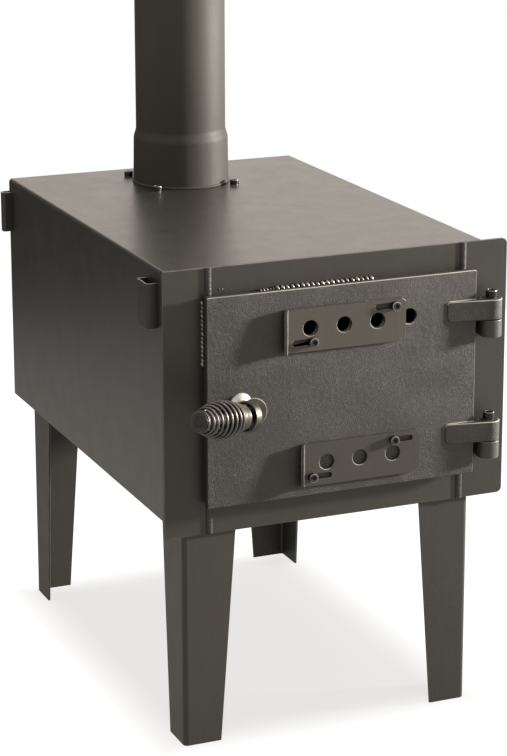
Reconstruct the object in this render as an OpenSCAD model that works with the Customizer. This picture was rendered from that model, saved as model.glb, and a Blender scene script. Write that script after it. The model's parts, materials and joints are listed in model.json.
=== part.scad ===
// Tent wood stove: folded sheet-steel firebox on four tapered legs, with a welded strip front,
// a cast door on two screw hinges, two sliding air vents, a spring-grip latch handle
// and a flue pipe that lifts off its collar.
// Millimetres, +Z up. The origin is on the floor, under the middle of the whole stove.

/* [Firebox] */
// Width of the firebox over its side walls
body_w = 354; // [320:1:400]
// Depth from the face of the front frame to the back
body_d = 493; // [420:1:560]
// Height of the firebox, without its legs
body_h = 257; // [245:1:300]
// Thickness of the folded sheet
sheet = 2; // [1.5:0.5:3]
// Outside radius of the two top folds
fold_r = 4; // [3:0.5:6]

/* [Front frame] */
// Height of the front frame, from the top of the stove down
front_h = 275; // [266:1:300]
// Width of the left strip
strip_left_w = 48; // [40:1:55]
// Height of the top strip
strip_top_h = 34; // [28:1:40]
// Height of the bottom strip
strip_bottom_h = 38; // [30:1:45]
// Width of the door opening
opening_w = 281; // [260:1:285]
// Width of the right strip, which stands out past the box
strip_right_w = 51; // [46:1:60]
// Thickness of the strips
frame_t = 3; // [2:0.5:4]

/* [Door] */
// Width of the cast door
door_w = 297; // [295:1:300]
// Height of the cast door
door_h = 217; // [215:1:220]
// Thickness of the door at its rim
door_t = 7; // [6.5:0.5:8]
// Distance from the frame's face to the door's face
door_out = 14; // [13.5:0.5:15]
// Diameter of the rope gasket
rope_d = 5; // [4.5:0.1:5.2]

/* [Vents] */
// Diameter of the air holes
vent_d = 16; // [12:0.5:17]
// Distance from one air hole to the next
vent_pitch = 37; // [36:0.5:40]
// Width of a vent slider
slider_w = 132; // [130:1:134]
// Height of a vent slider
slider_h = 45; // [44:1:48]
// Thickness of a vent slider
slider_t = 3; // [2:0.5:3]

/* [Handle] */
// Diameter of the handle rod
rod_d = 10; // [9:0.5:11]
// Length of the grip, from the bend to the end cap
grip_len = 98; // [90:1:110]
// How far the grip leans out from the door, in degrees
grip_lean = 33; // [15:1:40]
// How far the grip is turned up about its spindle, in degrees
grip_turn = 13; // [0:1:20]
// Thickness of the grip's spring wire
wire_d = 2.8; // [2.4:0.1:2.8]

/* [Flue] */
// Outside diameter of the flue pipe
flue_d = 101.6; // [96:0.2:104]
// Length of one pipe section
pipe_len = 410; // [300:10:460]
// Height of the wide end that slips over the collar
bell_h = 50; // [48:1:60]

/* [Legs] */
// Height of the box above the floor
leg_h = 247; // [180:1:300]
// Width of a leg's flanges at the top
leg_top_w = 59; // [50:1:66]
// Width of a leg's flanges at the foot
leg_foot_w = 41; // [25:1:50]
// Thickness of the leg sheet
leg_t = 2.5; // [2:0.5:3]

/* [Hidden] */

$fn = 64;
eps = 0.01;

// The stove's planes in its own frame
x_mid = -6;
y_face = -183.5;
z_low = leg_h;
z_top = leg_h + body_h;
x_left = x_mid - body_w / 2;
x_right = x_mid + body_w / 2;
y_back = y_face + body_d;
y_box = y_face + frame_t;

// The door opening
open_x0 = x_left + strip_left_w;
open_x1 = open_x0 + opening_w;
open_z1 = z_top - strip_top_h;
open_z0 = z_top - front_h + strip_bottom_h;

// The door
door_x0 = open_x0 - 7;
door_x1 = door_x0 + door_w;
door_z0 = open_z0 - 7;
door_z1 = door_z0 + door_h;
door_y = y_face - door_out;
door_back = door_y + door_t;
door_pocket = 2.5;
door_rim = 16;
door_corner = 2;

// The seat bar round the opening and the rope that presses on it
seat_t = 5;
rope_gap = 0.3;
rope_y = door_back - 0.2;
seat_h = y_face - (rope_y + rope_d / 2) - rope_gap;
rope_in = 5;
rope_groove = rope_d + 0.2;

// The hinge
hinge_x = x_left + 355.5;
hinge_y = y_face - 13.5;
hinge_r = 11.3;
arm_h = 21;
arm_front = hinge_y - hinge_r;
arm_x0 = x_left + 305;
arm_thin = 0.9;
arm_tops = [z_top - 57.8, z_top - 188];
knuckle_h = 18.5;
hinge_gap = 1;
pin_r = 4;
pin_clear = 0.06;
pin_head_r = 6;
pin_head_h = 8;

// The air vents
vent_x0 = x_left + 150.9;
vent_rows = [z_top - 67.8, z_top - 209.4];
vent_travel = vent_pitch / 2;
slider_gap = 0.3;
slider_y = door_y - slider_gap - slider_t;
slider_hole_x = 26.5;
slider_row_up = 1.5;
// The slider's left end is a lip, bent out and cut askew: angle, inner radius,
// straight width at the bottom and at the top, and where its bend starts
lip_bend = 65;
lip_in = 2;
lip_low = 6.8;
lip_high = 3.3;
lip_at = 3;
reach_out = lip_in + slider_t;
slider_clip = [11, 5];
slider_nick = [4.5, 3.5];
slot_w = 6.2;
slot_play = 0.4;
// Screws of a slider: distance from the first air hole, and from the row of holes
vent_screw_at = [[2.4, -14.3], [93.1, 13.8]];
vent_screw_r = 2.5;
vent_head = [4.75, 4.6];

// The latch spindle
spindle_x = x_left + 77;
spindle_z = z_top - 138.5;
rod_r = rod_d / 2;
rod_clear = 0.06;
bush_r = 8;
dome_r = 11.5;
dome_h = 7;
bend_r = 14;
bend_angle = 90 - grip_lean;
elbow_out = 56;
// A disc on the spindle behind the elbow: its radius, thickness and distance from the door
disc_r = 14.8;
disc_t = 2;
disc_out = 30;
bend_from = elbow_out - bend_r * tan(bend_angle / 2);
cup_r = 15.5;
cup_from = 11.6;
cup_depth = 13;
cup_wall = 1.5;
cup_round = 5;
cap_r = 10.8;
cap_t = 4;
cam_reach = 38;
cam_w = 16;
cam_t = 5;
cam_y = y_face + frame_t + 0.5;
rod_in = y_face + 18;

// The grip's spring: close turns next to the cup, then open turns to the cap
fine_turns = 6;
fine_pitch = 3.4;
open_turns = 7;
spring_from = cup_from + cup_depth + 3;
spring_to = grip_len - 1.4 * wire_d;
open_pitch = (spring_to - spring_from - fine_turns * fine_pitch) / open_turns;
turn_steps = 8;
wire_sides = 6;

// The flue
flue_x = x_mid + 1.4;
flue_y = y_face + 406.2;
flue_r = flue_d / 2;
pipe_t = 1.2;
pipe_gap = 0.3;
bell_r = flue_r + 2.8;
bell_foot_r = flue_r + 3.6;
taper_h = 13;
neck_r = flue_r - 0.2;
neck_t = 2;
neck_h = 45;
flange_r = 76;
flange_t = 3;
flue_pcd_r = 66;
flue_screw_r = 3;

// The legs
leg_in_left = 21;
leg_in_right = 11;
leg_back = 4.5;
leg_fold = 5;
pad = 46;
pad_t = 3;
leg_bolt_r = 4;

// The shelf sockets on the side walls: wide ones in front, narrow ones at the rear edge
socket_out = 11;
socket_w = 29;
socket_rear_w = 11;
socket_h = 45.5;
socket_t = 2;
socket_top = z_top - 14;
socket_front = y_face + 13.5;
socket_rear = y_back - socket_rear_w;

// The grate
grate_w = 300;
grate_d = 380;
grate_z = z_low + sheet + 28;
grate_bar = 8;
grate_bars = 11;
grate_rail = 6;

// ---- helpers -----------------------------------------------------------------------------

// A flat outline in X and Z, made into a plate whose front is at y
module upright(y, t)
    translate([0, y + t, 0]) rotate([90, 0, 0]) linear_extrude(t) children();

// A rectangle from corner a to corner b with its own radius on each corner:
// lower left, lower right, upper right, upper left
module rounded(a, b, r) {
    c = [[a[0] + r[0], a[1] + r[0]], [b[0] - r[1], a[1] + r[1]],
         [b[0] - r[2], b[1] - r[2]], [a[0] + r[3], b[1] - r[3]]];
    difference() {
        translate(a) square(b - a);
        for (i = [0:3])
            if (r[i] > 0)
                translate(c[i]) rotate(180 + 90 * i) difference() {
                    square(r[i] + 1);
                    circle(r[i]);
                }
    }
}

// A strip of sheet folded once: two arms that end at [a, 0] and [0, b], fold radius r
module folded(a, b, t, r) {
    translate([r, 0]) square([a - r, t]);
    translate([0, r]) square([t, b - r]);
    intersection() {
        translate([r, r]) difference() {
            circle(r);
            circle(r - t);
        }
        square(r);
    }
}

// A slot from x0 to x1 between its two centres
module slot(x0, x1, w) {
    translate([x0, -w / 2]) square([x1 - x0, w]);
    translate([x0, 0]) circle(w / 2);
    translate([x1, 0]) circle(w / 2);
}

// A socket-head screw along +Z: the head stands on z = 0, the shank hangs below
module socket_screw(r, shank, head_r, head_h) {
    translate([0, 0, -shank]) cylinder(r = r, h = shank + eps);
    difference() {
        cylinder(r = head_r, h = head_h);
        translate([0, 0, head_h * 0.5]) cylinder(r = r * 0.95, h = head_h, $fn = 6);
    }
}

// A hexagon nut with its bore, from z = 0 up
module hex_nut(across, h, bore_r)
    difference() {
        cylinder(r = across / sqrt(3), h = h, $fn = 6);
        translate([0, 0, -1]) cylinder(r = bore_r, h = h + 2);
    }

// ---- firebox -----------------------------------------------------------------------------

module firebox_shell()
    color("#55524c") difference() {
        translate([0, y_back, 0]) rotate([90, 0, 0]) linear_extrude(y_back - y_box)
            difference() {
                rounded([x_left, z_low], [x_right, z_top], [0, 0, fold_r, fold_r]);
                rounded([x_left + sheet, z_low - 1], [x_right - sheet, z_top - sheet],
                        [0, 0, fold_r - sheet, fold_r - sheet]);
            }
        translate([flue_x, flue_y, z_top - 10]) cylinder(r = neck_r + 1.2, h = 20);
        at_flue_screws(z_top - 10) cylinder(r = flue_screw_r + 0.2, h = 20);
    }

module floor_plate()
    color("#4b4843") difference() {
        translate([x_left + sheet, y_box, z_low])
            cube([body_w - 2 * sheet, body_d - frame_t - sheet, sheet]);
        at_leg_bolts(z_low - 1) cylinder(r = leg_bolt_r + 0.3, h = sheet + 2);
    }

module back_plate()
    color("#504d47") translate([x_left + sheet, y_back - sheet, z_low])
        cube([body_w - 2 * sheet, sheet, body_h - sheet]);

// ---- front frame -------------------------------------------------------------------------

module front_left_strip()
    color("#5a5750") upright(y_face, frame_t)
        rounded([x_left, z_top - front_h], [open_x0, z_top], [2, 0, 0, 2]);

module front_right_strip()
    color("#5a5750") upright(y_face, frame_t)
        rounded([open_x1, z_top - front_h], [open_x1 + strip_right_w, z_top], [0, 6, 6, 0]);

module front_top_strip()
    color("#5a5750") upright(y_face, frame_t)
        translate([open_x0, open_z1]) square([opening_w, strip_top_h]);

module front_bottom_strip()
    color("#5a5750") upright(y_face, frame_t)
        translate([open_x0, z_top - front_h]) square([opening_w, strip_bottom_h]);

// Four upright beads, where the short strips meet the long ones
module frame_weld_beads() {
    bead_r = 5.2;
    sunk = 3.4;
    above = [open_z1 + seat_t + 1, z_top];
    below = [z_top - front_h, open_z0 - seat_t - 1];
    for (x = [open_x0, open_x1], z = [above, below])
        color("#6a675f") translate([x, y_face, z[0]]) linear_extrude(z[1] - z[0])
            intersection() {
                translate([0, sunk]) circle(bead_r);
                translate([-bead_r, -bead_r]) square([2 * bead_r, bead_r]);
            }
}

// A bar welded on edge round the opening, for the door's rope to press on
module door_seat()
    color("#4f4c46") upright(y_face - seat_h, seat_h) difference() {
        rounded([open_x0 - seat_t, open_z0 - seat_t], [open_x1 + seat_t, open_z1 + seat_t],
                [2, 2, 2, 2]);
        translate([open_x0, open_z0]) square([opening_w, open_z1 - open_z0]);
    }

// Stitches of weld along the outside of the seat bar
module seat_weld_beads() {
    bead = 3.4;
    stitch = 103;
    short_stitch = 66;
    color("#77736a") {
        for (side = [0, 1]) {
            z = side == 0 ? open_z1 + seat_t : open_z0 - seat_t;
            translate([x_left + 133, y_face, z]) mirror([0, 0, side]) rotate([90, 0, 90])
                linear_extrude(stitch) fillet_profile(bead);
        }
        for (side = [0, 1]) {
            x = side == 0 ? open_x0 - seat_t : open_x1 + seat_t;
            translate([x, y_face, open_z1 - short_stitch]) mirror([1 - side, 0, 0])
                linear_extrude(short_stitch) fillet_profile(bead, flip = true);
        }
    }
}

// Quarter of a circle in the corner of frame and bar
module fillet_profile(r, flip = false)
    intersection() {
        circle(r);
        if (flip) translate([0, -r]) square(r);
        else translate([-r, 0]) square(r);
    }

// ---- door --------------------------------------------------------------------------------

module door_outline(inset, r)
    rounded([door_x0 + inset, door_z0 + inset], [door_x1 - inset, door_z1 - inset], [r, r, r, r]);

module door() {
    color("#66625a") difference() {
        union() {
            upright(door_y, door_t) door_outline(0, door_corner);
            for (top = arm_tops) hinge_arm(top);
        }
        // The cast pocket in the back, which leaves a rim and a boss for the spindle
        upright(door_back - door_pocket, door_pocket + 1) difference() {
            door_outline(door_rim, 3);
            translate([spindle_x, spindle_z]) circle(14);
        }
        // The groove for the rope
        upright(door_back - rope_d / 2 - 0.3, rope_d) difference() {
            door_outline(rope_in - rope_groove / 2, 2);
            door_outline(rope_in + rope_groove / 2, 2);
        }
        upright(door_y - 1, door_t + 2) {
            for (z = vent_rows, i = [0:3])
                translate([vent_x0 + i * vent_pitch, z]) circle(vent_d / 2);
            for (z = vent_rows, s = vent_screw_at)
                translate([vent_x0 + s[0], z + s[1]]) circle(vent_screw_r + 0.1);
            translate([spindle_x, spindle_z]) circle(bush_r);
        }
        for (top = arm_tops)
            translate([hinge_x, hinge_y, top - arm_h - 1])
                cylinder(r = pin_r + pin_clear, h = arm_h + 2);
    }
}

// An arm cast on the door's face: a wedge that grows out of the door towards the hinge
// barrel it ends in
module hinge_arm(top) {
    translate([hinge_x, hinge_y, top - arm_h]) cylinder(r = hinge_r, h = arm_h);
    intersection() {
        translate([0, 0, top - arm_h - 1]) linear_extrude(arm_h + 2) polygon([
            [arm_x0 - 1, door_y + 0.5], [arm_x0 - 1, door_y - arm_thin],
            [hinge_x, arm_front], [hinge_x, door_y + 0.5]
        ]);
        upright(arm_front - 1, door_y - arm_front + 2)
            rounded([arm_x0, top - arm_h], [hinge_x + 1, top], [5, 0, 0, 4]);
    }
}

module door_gasket()
    color("#3b3a37") {
        a = [door_x0 + rope_in, door_z0 + rope_in];
        b = [door_x1 - rope_in, door_z1 - rope_in];
        turn = 4;
        for (z = [a[1], b[1]])
            translate([a[0] + turn, rope_y, z]) rotate([0, 90, 0])
                cylinder(d = rope_d, h = b[0] - a[0] - 2 * turn);
        for (x = [a[0], b[0]])
            translate([x, rope_y, a[1] + turn]) cylinder(d = rope_d, h = b[1] - a[1] - 2 * turn);
        for (i = [0:3]) {
            c = [[a[0] + turn, a[1] + turn], [b[0] - turn, a[1] + turn],
                 [b[0] - turn, b[1] - turn], [a[0] + turn, b[1] - turn]][i];
            translate([c[0], rope_y, c[1]]) rotate([90, 0, 0]) rotate(180 + 90 * i)
                rotate_extrude(angle = 90) translate([turn, 0]) circle(d = rope_d);
        }
    }

// ---- hinges ------------------------------------------------------------------------------

module hinge_knuckle(top) {
    z = top - arm_h - hinge_gap - knuckle_h;
    color("#5e5b54") difference() {
        union() {
            translate([hinge_x, hinge_y, z]) cylinder(r = hinge_r, h = knuckle_h);
            translate([hinge_x - hinge_r + 2, hinge_y, z])
                cube([2 * hinge_r - 4, y_face - hinge_y, knuckle_h]);
        }
        translate([hinge_x, hinge_y, z - 1]) cylinder(r = pin_r, h = knuckle_h + 2);
    }
}

module upper_hinge_knuckle() hinge_knuckle(arm_tops[0]);
module lower_hinge_knuckle() hinge_knuckle(arm_tops[1]);

module hinge_pin(top)
    color("#3c3b39") translate([hinge_x, hinge_y, top + pin_clear * 5])
        socket_screw(pin_r, arm_h + hinge_gap + knuckle_h + 2, pin_head_r, pin_head_h);

module upper_hinge_pin() hinge_pin(arm_tops[0]);
module lower_hinge_pin() hinge_pin(arm_tops[1]);

// ---- vents -------------------------------------------------------------------------------

// A slider with its left edge at x, for the row of holes at z. Its screws lie at the
// slots' right ends when the vent is open (shut = 0) and at the left ends when it is shut.
module vent_slider(x, z) {
    low = z - slider_h / 2 - slider_row_up;
    color("#6f6b63") difference() {
        translate([x + lip_at, slider_y - lip_in, low]) linear_extrude(slider_h) slider_profile();
        // The lip's free edge is cut askew
        translate([x + lip_at, slider_y - lip_in, low]) rotate(lip_bend) upright(0, reach_out + 2)
            polygon([[-lip_low - 2, -6], [-lip_high, slider_h + 1], [-lip_low - 2, slider_h + 1]]);
        upright(slider_y - 1, slider_t + 2) {
            // The right corners are cut off, the lower one further
            translate([x + slider_w, low]) clipped_corner(slider_clip);
            translate([x + slider_w, low + slider_h]) mirror([0, 1]) clipped_corner(slider_nick);
            for (i = [0:2])
                translate([x + slider_hole_x + i * vent_pitch, z]) circle(vent_d / 2);
            for (s = vent_screw_at)
                translate([x + slider_hole_x + s[0], z + s[1]])
                    slot(-vent_travel - slot_play, slot_play, slot_w);
        }
    }
}

// What is cut from the corner at the origin of a plate that lies towards -X and +Z
module clipped_corner(c)
    polygon([[-1.2 * c[0], -0.2 * c[1]], [0.2 * c[0], -0.2 * c[1]], [0.2 * c[0], 1.2 * c[1]]]);

// The slider from above: a plate whose left end is bent out in four small steps,
// with the bend's centre at the origin
module slider_profile() {
    steps = 4;
    way = [-cos(lip_bend), -sin(lip_bend)];
    out = [-sin(lip_bend), cos(lip_bend)];
    polygon([
        [slider_w - lip_at, lip_in],
        for (i = [0:steps]) lip_in * [-sin(lip_bend * i / steps), cos(lip_bend * i / steps)],
        lip_in * out + lip_low * way,
        reach_out * out + lip_low * way,
        for (i = [steps:-1:0]) reach_out * [-sin(lip_bend * i / steps), cos(lip_bend * i / steps)],
        [slider_w - lip_at, reach_out]
    ]);
}

module upper_vent_slider() vent_slider(vent_x0 - slider_hole_x, vent_rows[0]);
module lower_vent_slider() vent_slider(vent_x0 - slider_hole_x + vent_travel, vent_rows[1]);

module at_vent_screws(y)
    for (z = vent_rows, s = vent_screw_at)
        translate([vent_x0 + s[0], y, z + s[1]]) rotate([90, 0, 0]) children();

module vent_screws()
    color("#8a8780") at_vent_screws(slider_y - 0.3)
        socket_screw(vent_screw_r, 12, vent_head[0], vent_head[1]);

module vent_nuts()
    color("#8a8780") at_vent_screws(door_back - door_pocket + 4)
        hex_nut(8, 4, vent_screw_r);

// ---- latch handle ------------------------------------------------------------------------

// Children are drawn with the spindle along +Z, coming out of the door at z = 0,
// and the grip towards +X; this stands them on the door and turns them about the spindle
module on_spindle()
    translate([spindle_x, door_y, spindle_z]) rotate([0, grip_turn, 0])
        rotate([90, 0, 0]) rotate([0, 0, 180]) children();

// Children are drawn along the grip's axis, +Z towards its end, from the elbow
module on_grip()
    on_spindle() translate([0, 0, elbow_out - door_out]) rotate([0, bend_angle, 0]) children();

module spindle_bush()
    color("#c9c7c2") translate([spindle_x, door_y, spindle_z]) rotate([90, 0, 0]) difference() {
        union() {
            translate([0, 0, -door_t - 0.2]) cylinder(r = bush_r, h = door_t + 0.2);
            intersection() {
                big_r = (dome_r * dome_r + dome_h * dome_h) / (2 * dome_h);
                translate([0, 0, dome_h - big_r]) sphere(big_r);
                cylinder(r = dome_r, h = dome_h);
            }
        }
        translate([0, 0, -20]) cylinder(r = rod_r + rod_clear, h = 60);
    }

module handle_rod()
    color("#6b6861") {
        start = rod_in - door_y;
        lap = 0.5;
        // The bend is a hair fatter, so that the straight ends sit inside its end faces
        on_spindle() translate([0, 0, -start])
            cylinder(r = rod_r, h = start + bend_from - door_out + lap);
        on_spindle() translate([0, 0, disc_out]) cylinder(r = disc_r, h = disc_t);
        on_spindle() translate([bend_r, 0, bend_from - door_out]) rotate([90, 0, 180])
            rotate_extrude(angle = bend_angle) translate([bend_r, 0]) circle(rod_r + 0.1);
        on_grip() translate([0, 0, bend_r * tan(bend_angle / 2) - lap])
            cylinder(r = rod_r, h = grip_len + cap_t - bend_r * tan(bend_angle / 2) + lap);
    }

// A cup behind the spring's first turn, open towards the grip
module grip_cup()
    color("#7d7a73") on_grip() translate([0, 0, cup_from]) rotate_extrude() difference() {
        rounded([0, 0], [cup_r, cup_depth], [0, cup_round, 0, 0]);
        translate([-1, -1]) square([1 + rod_r, cup_depth + 2]);
        translate([-1, cup_wall]) square([1 + cup_r - cup_wall, cup_depth]);
    }

// Radius of the spring's wire line at s along the grip: small ends, a full middle
function spring_r(s) =
    let (u = (s - spring_from) / (spring_to - spring_from))
    11.4 - 0.5 * u + 6.4 * sin(180 * pow(u, 1.25));

// Place of the wire line after t turns
function spring_s(t) =
    t < fine_turns ? t * fine_pitch : fine_turns * fine_pitch + (t - fine_turns) * open_pitch;

function spring_point(t) =
    let (s = spring_from + spring_s(t), r = spring_r(s), a = 360 * t + 90)
    [r * cos(a), r * sin(a), s];

turns = fine_turns + open_turns;
spring_line = concat(
    [spring_point(0) - [0, 0, spring_from - cup_from - cup_wall - 0.1]],
    [for (i = [0:turns * turn_steps]) spring_point(i / turn_steps)],
    [spring_point(turns) + [0, 0, grip_len - spring_to - 0.05]]
);
spring_last = len(spring_line) - 1;

function unit(v) = v / norm(v);
function spring_way(i) =
    i == 0 || i == spring_last ? [0, 0, 1]
        : unit(unit(spring_line[i + 1] - spring_line[i]) + unit(spring_line[i] - spring_line[i - 1]));

function spring_ring(i) =
    let (
        p = spring_line[i],
        way = spring_way(i),
        out = unit([p[0], p[1], 0] - ([p[0], p[1], 0] * way) * way),
        side = cross(way, out)
    )
    [for (k = [0:wire_sides - 1])
        p + wire_d / 2 * (cos(360 * k / wire_sides) * out + sin(360 * k / wire_sides) * side)];

// Least gap of the wire to itself, between places more than half a turn apart
spring_gap = min([
    for (i = [1:spring_last - 1], j = [i + turn_steps / 2 + 1:1:spring_last - 1])
        norm(spring_line[i] - spring_line[j])
]) - wire_d;
echo(str("least gap of the spring to itself: ", spring_gap, " mm"));

module grip_spring() {
    n = wire_sides;
    points = [for (i = [0:spring_last], p = spring_ring(i)) p];
    walls = [
        for (i = [0:spring_last - 1], k = [0:n - 1])
            let (a = i * n + k, b = i * n + (k + 1) % n)
            each [[a, b, b + n], [a, b + n, a + n]]
    ];
    start = [for (k = [1:n - 2]) [0, k + 1, k]];
    end = [for (k = [1:n - 2]) [0, k, k + 1] + spring_last * n * [1, 1, 1]];
    color("#a5a29b") on_grip() polyhedron(points, [for (f = concat(walls, start, end)) [f[0], f[2], f[1]]]);
}

module grip_end_cap()
    color("#5f5c56") on_grip() translate([0, 0, grip_len]) difference() {
        union() {
            cylinder(r = cap_r, h = cap_t - 1.2);
            cylinder(r = cap_r - 1.2, h = cap_t);
        }
        translate([0, 0, -1]) cylinder(r = rod_r, h = cap_t + 2);
    }

module latch_washer()
    color("#8a8780") translate([spindle_x, door_back + 2, spindle_z]) rotate([90, 0, 0])
        difference() {
            cylinder(r = 8.5, h = 1.5);
            translate([0, 0, -1]) cylinder(r = rod_r, h = 4);
        }

// The cam stands up while the latch is off, and turns left behind the frame when it is on
module latch_cam()
    color("#57544e") difference() {
        union() {
            upright(door_back + 2, cam_y - door_back - 2)
                translate([spindle_x, spindle_z]) circle(9);
            upright(cam_y, cam_t) translate([spindle_x, spindle_z]) {
                circle(9);
                translate([-cam_w / 2, 0]) square([cam_w, cam_reach - cam_w / 2]);
                translate([0, cam_reach - cam_w / 2]) circle(cam_w / 2);
            }
        }
        upright(door_back, 40) translate([spindle_x, spindle_z]) circle(rod_r);
    }

module latch_nut()
    color("#8a8780") translate([spindle_x, cam_y + cam_t + 8, spindle_z]) rotate([90, 0, 0])
        hex_nut(16, 8, rod_r);

// ---- flue --------------------------------------------------------------------------------

module at_flue_screws(z)
    for (a = [45:90:315])
        translate([flue_x + flue_pcd_r * cos(a), flue_y + flue_pcd_r * sin(a), z]) children();

module flue_collar()
    color("#4b4843") difference() {
        union() {
            translate([flue_x, flue_y, z_top - sheet - flange_t]) cylinder(r = flange_r, h = flange_t);
            translate([flue_x, flue_y, z_top - sheet - flange_t])
                cylinder(r = neck_r, h = flange_t + sheet + neck_h);
        }
        translate([flue_x, flue_y, z_top - 20]) cylinder(r = neck_r - neck_t, h = 200);
        at_flue_screws(z_top - 10) cylinder(r = flue_screw_r + 0.2, h = 20);
    }

module flue_screws()
    color("#3c3b39") at_flue_screws(z_top) socket_screw(flue_screw_r, 12, 5, 6);

module flue_nuts()
    color("#8a8780") at_flue_screws(z_top - sheet - flange_t - 5) hex_nut(10, 5, flue_screw_r);

// A plain tube whose foot is opened out to slip over the collar
module flue_pipe() {
    foot = z_top + pipe_gap;
    color("#5b5852") translate([flue_x, flue_y, foot]) rotate_extrude($fn = 96)
        polygon([
            [bell_foot_r - pipe_t, 0], [bell_foot_r + 1.2, 0], [bell_foot_r + 1.2, 1.5],
            [bell_foot_r, 2.5],
            [bell_r, bell_h],
            for (i = [1:7]) [bell_r + (flue_r - bell_r) * (1 - cos(180 * i / 8)) / 2,
                             bell_h + taper_h * i / 8],
            [flue_r, bell_h + taper_h], [flue_r, pipe_len], [flue_r - pipe_t, pipe_len],
            [flue_r - pipe_t, bell_h + taper_h + 1],
            for (i = [7:-1:1]) [bell_r - pipe_t + (flue_r - bell_r) * (1 - cos(180 * i / 8)) / 2,
                                bell_h + 1 + taper_h * i / 8],
            [bell_r - pipe_t, bell_h + 1]
        ]);
}

// ---- legs --------------------------------------------------------------------------------

// One leg with its fold at the origin and its flanges along +X and +Y
module leg() {
    cut = leg_top_w - leg_foot_w;
    difference() {
        linear_extrude(leg_h) folded(leg_top_w, leg_top_w, leg_t, leg_fold);
        // Both free edges run in towards the foot
        upright(-1, leg_t + 2) leg_taper(cut);
        mirror([1, -1, 0]) upright(-1, leg_t + 2) leg_taper(cut);
    }
    // The pad that is bolted under the floor
    translate([leg_t, leg_t, leg_h - pad_t]) difference() {
        linear_extrude(pad_t) polygon([[0, 0], [pad, 0], [pad, pad / 2], [pad / 2, pad], [0, pad]]);
        translate([pad / 2, pad / 2, -1]) cylinder(r = leg_bolt_r + 0.3, h = pad_t + 2);
    }
}

module leg_taper(cut)
    polygon([[leg_foot_w, -1], [leg_top_w + 1, -1], [leg_top_w + 1, leg_h + 1],
             [leg_top_w, leg_h + 1], [leg_foot_w - cut / leg_h, -1]]);

module leg_at(right, rear)
    translate([right ? x_right - leg_in_right : x_left + leg_in_left,
               rear ? y_back - leg_back : y_face + leg_back, 0])
        mirror([right ? 1 : 0, 0, 0]) mirror([0, rear ? 1 : 0, 0]) children();

module front_left_leg() color("#4e4b45") leg_at(false, false) leg();
module front_right_leg() color("#4e4b45") leg_at(true, false) leg();
module rear_left_leg() color("#4e4b45") leg_at(false, true) leg();
module rear_right_leg() color("#4e4b45") leg_at(true, true) leg();

module at_leg_bolts(z)
    for (right = [false, true], rear = [false, true])
        leg_at(right, rear) translate([leg_t + pad / 2, leg_t + pad / 2, z]) children();

module leg_bolts()
    color("#8a8780") {
        at_leg_bolts(leg_h - pad_t - 5.3) cylinder(r = 13 / sqrt(3), h = 5.3, $fn = 6);
        at_leg_bolts(leg_h - pad_t - eps) cylinder(r = leg_bolt_r, h = 16);
    }

module leg_nuts()
    color("#8a8780") at_leg_bolts(z_low + sheet) hex_nut(13, 6.5, leg_bolt_r);

// ---- shelf sockets -----------------------------------------------------------------------

// A strip bent into a channel and welded to the side wall, open above and below
module socket(wall_x, side, y, w)
    color("#504d47") translate([wall_x, y, socket_top - socket_h]) mirror([side > 0 ? 0 : 1, 0, 0])
        linear_extrude(socket_h) difference() {
            rounded([0, 0], [socket_out, w], [0, 3, 3, 0]);
            rounded([-1, socket_t], [socket_out - socket_t, w - socket_t], [0, 1, 1, 0]);
        }

module front_left_socket() socket(x_left, -1, socket_front, socket_w);
module rear_left_socket() socket(x_left, -1, socket_rear, socket_rear_w);
module front_right_socket() socket(x_right, 1, socket_front, socket_w);
module rear_right_socket() socket(x_right, 1, socket_rear, socket_rear_w);

// ---- grate -------------------------------------------------------------------------------

module fire_grate()
    color("#45423d") translate([x_mid - grate_w / 2, y_box + 50, 0]) {
        for (x = [0, grate_w - grate_rail])
            translate([x, 0, z_low + sheet]) cube([grate_rail, grate_d, grate_z - z_low - sheet]);
        for (i = [0:grate_bars - 1])
            translate([grate_rail / 2, i * (grate_d - grate_bar) / (grate_bars - 1), grate_z - grate_bar])
                cube([grate_w - grate_rail, grate_bar, grate_bar]);
    }

firebox_shell();
floor_plate();
back_plate();
front_left_strip();
front_right_strip();
front_top_strip();
front_bottom_strip();
frame_weld_beads();
door_seat();
seat_weld_beads();
door();
door_gasket();
upper_hinge_knuckle();
lower_hinge_knuckle();
upper_hinge_pin();
lower_hinge_pin();
upper_vent_slider();
lower_vent_slider();
vent_screws();
vent_nuts();
spindle_bush();
handle_rod();
grip_cup();
grip_spring();
grip_end_cap();
latch_washer();
latch_cam();
latch_nut();
flue_collar();
flue_screws();
flue_nuts();
flue_pipe();
front_left_leg();
front_right_leg();
rear_left_leg();
rear_right_leg();
leg_bolts();
leg_nuts();
front_left_socket();
rear_left_socket();
front_right_socket();
rear_right_socket();
fire_grate();
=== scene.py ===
# %% [markdown]
# # Looks for a tent wood stove
#
# The stove's solids come from its CAD model and already have their real size and place.
# This file dresses them: painted sheet steel, a sand-cast door, rippled welds, a wound
# wire grip and a flue pipe that shines on one side. Every step says what the thing is on
# the real stove and why it is made this way here.

import json
import math
import random

import bpy
from mathutils import Matrix, Vector

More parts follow.
